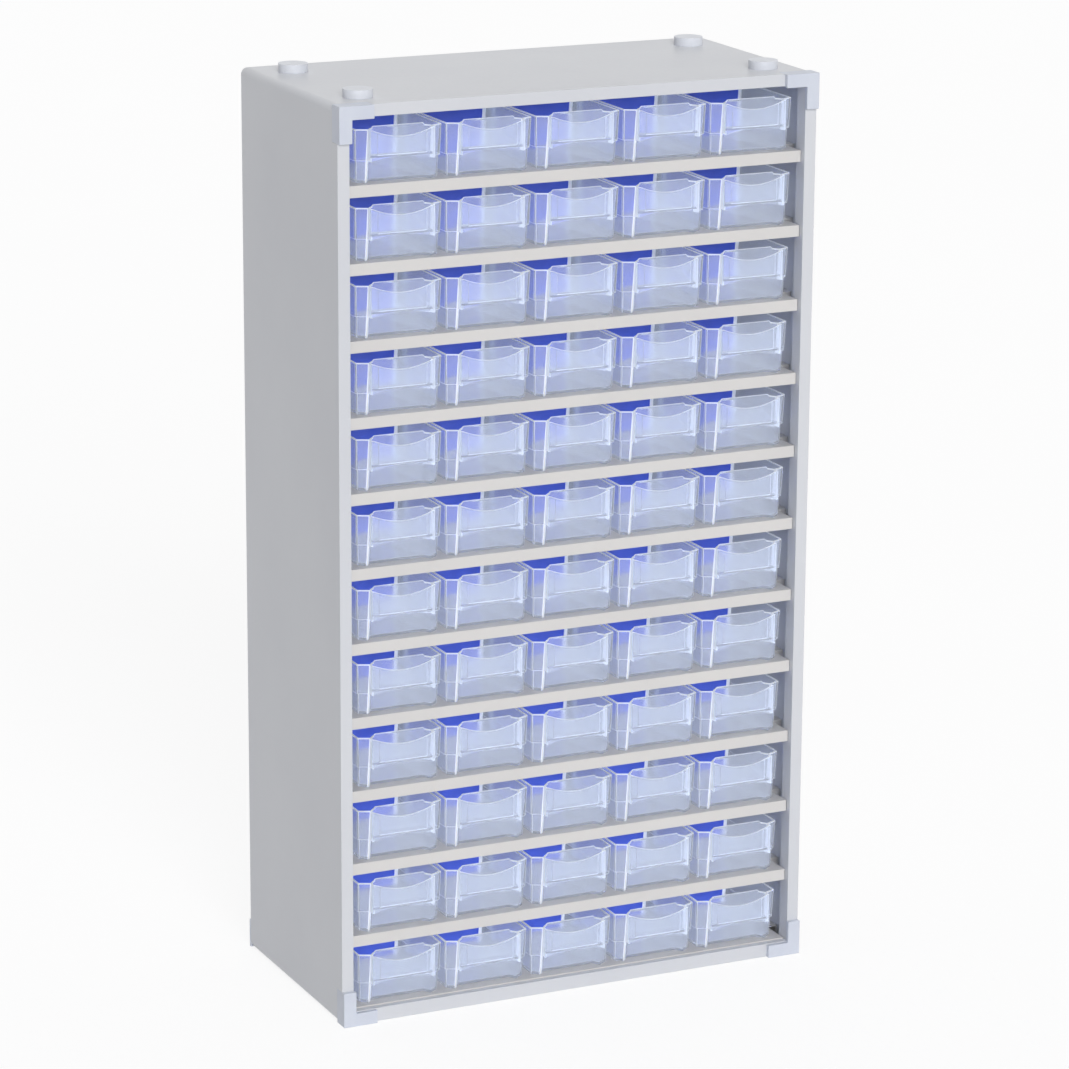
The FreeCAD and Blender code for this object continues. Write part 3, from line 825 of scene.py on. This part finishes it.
def add_camera():
    """A camera where the photograph was taken from, turned, tilted and slightly rolled."""
    flat = math.cos(CAMERA_TILT)
    back = Vector((math.sin(CAMERA_TURN) * flat, -math.cos(CAMERA_TURN) * flat, math.sin(CAMERA_TILT)))
    level = Vector((math.cos(CAMERA_TURN), math.sin(CAMERA_TURN), 0))
    upright = back.cross(level)
    right = level * math.cos(CAMERA_ROLL) + upright * math.sin(CAMERA_ROLL)
    up = upright * math.cos(CAMERA_ROLL) - level * math.sin(CAMERA_ROLL)
    data = bpy.data.cameras.new("camera")
    data.lens = CAMERA_LENS
    data.sensor_width = CAMERA_SENSOR
    data.clip_end = CAMERA_RANGE
    camera = bpy.data.objects.new("camera", data)
    bpy.context.collection.objects.link(camera)
    camera.matrix_world = Matrix((*zip(right, up, back, CAMERA_PLACE), (0, 0, 0, 1)))
    bpy.context.scene.camera = camera


def seen_ray(tree):
    """1 where the background is looked at, straight or through gloss and clear plastic."""
    path = tree.nodes.new("ShaderNodeLightPath")
    gloss = add_math(tree, "MAXIMUM", path.outputs["Is Glossy Ray"], path.outputs["Is Transmission Ray"])
    return add_math(tree, "MAXIMUM", path.outputs["Is Camera Ray"], gloss)


def add_floor():
    """A pale floor that looks white and keeps a faint shadow."""
    mesh = bmesh.new()
    bmesh.ops.create_grid(mesh, x_segments=1, y_segments=1, size=FLOOR_SIZE / 2)
    data = bpy.data.meshes.new("floor")
    mesh.to_mesh(data)
    mesh.free()
    floor = bpy.data.objects.new("floor", data)
    bpy.context.collection.objects.link(floor)
    material, shader = make_finish(
        "studio_floor", light=srgb(248, 248, 249), deep=srgb(245, 245, 246), drift=2.0, bump=0.02,
        Grain_Scale=300.0, Wave_Scale=20.0, Grain_Share=0.3, Dull=0.9, Shiny=0.85)
    tree = material.node_tree
    glow = tree.nodes.new("ShaderNodeEmission")
    glow.inputs["Strength"].default_value = FLOOR_GLOW
    lift = add_math(tree, "MULTIPLY", seen_ray(tree), FLOOR_LIFT)
    blend_over(tree, shader, glow.outputs["Emission"], lift)
    data.materials.append(material)


def add_lamp(name, towards, strength, spread):
    """A broad, distant lamp that stands in a direction and shines back along it."""
    data = bpy.data.lights.new(name, "SUN")
    data.energy = strength
    data.angle = math.radians(spread)
    lamp = bpy.data.objects.new(name, data)
    bpy.context.collection.objects.link(lamp)
    lamp.rotation_euler = Vector(towards).to_track_quat("Z", "Y").to_euler()


def add_light():
    """A lamp in front, a lamp above, and a dim sky that looks white."""
    add_lamp("key", KEY_TOWARDS, KEY_STRENGTH, KEY_SPREAD)
    add_lamp("overhead", TOP_TOWARDS, TOP_STRENGTH, TOP_SPREAD)
    world = bpy.data.worlds.new("studio")
    bpy.context.scene.world = world
    world.use_nodes = True
    tree = world.node_tree
    sky = tree.nodes["Background"]
    sky.inputs["Color"].default_value = SKY_COLOR
    lifted = add_math(tree, "MULTIPLY", seen_ray(tree), 1 - SKY_LEVEL)
    tree.links.new(add_math(tree, "ADD", lifted, SKY_LEVEL), sky.inputs["Strength"])


dress_cabinet()
add_drawers()
add_camera()
add_floor()
add_light()
bpy.context.scene.view_settings.view_transform = "Standard"

bpy.context.view_layer.update()
